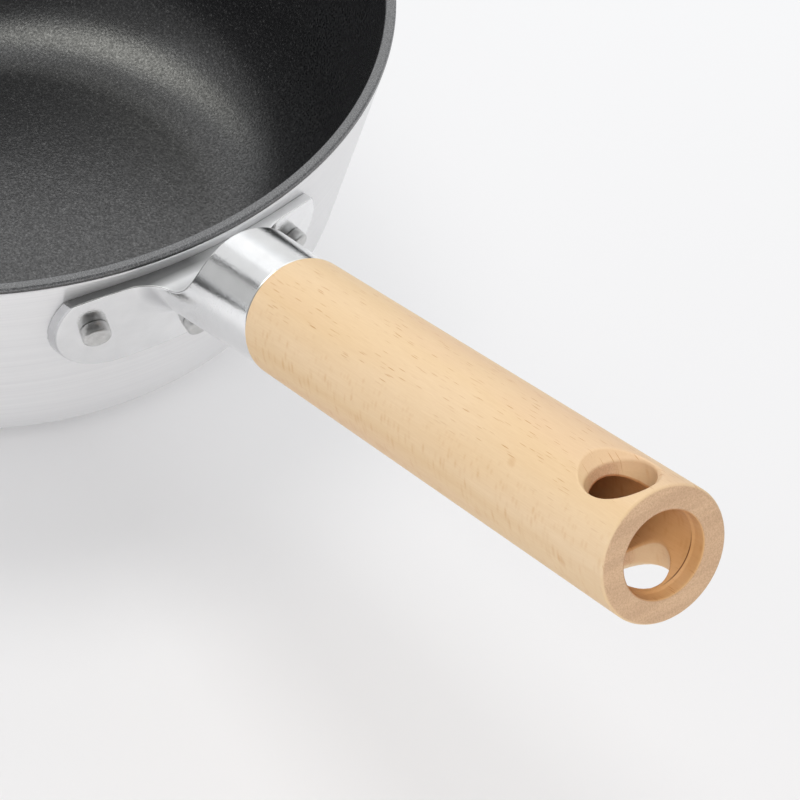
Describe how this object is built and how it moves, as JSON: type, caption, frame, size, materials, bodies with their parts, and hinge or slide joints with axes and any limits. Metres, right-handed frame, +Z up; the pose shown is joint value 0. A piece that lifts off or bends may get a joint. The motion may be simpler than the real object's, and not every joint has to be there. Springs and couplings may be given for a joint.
{
  "type": "deep frying pan",
  "caption": "Deep round aluminium frying pan with a dark non-stick lining and a turned wooden handle bolted to a polished bracket that is riveted to the wall.",
  "frame": {"origin": "centre of the flat base, on its underside", "axes": "+X from the pan's centre towards the handle's end, +Z up out of the pan's mouth, +Y to the left of someone looking along +X"},
  "size_m": [0.3725, 0.2, 0.1362],
  "materials": {
    "pan_aluminium": "satin, spun in fine level lines",
    "lining": "fluororesin, dark grey with fine light speckle",
    "bracket_metal": "polished casting",
    "rivet_metal": "plain, duller than the bracket",
    "beech": "bare, sanded, short dark flecks along the grain",
    "bolt_steel": "plain"
  },
  "bodies": {
    "root": {"pan_body": "pan_aluminium", "nonstick_coating": "lining", "handle_bracket": "bracket_metal", "rivet_left": "rivet_metal", "rivet_right": "rivet_metal", "rivet_lower": "rivet_metal", "wood_handle": "beech", "handle_bolt": "bolt_steel", "bolt_washer": "bolt_steel"}
  },
  "joints": []
}
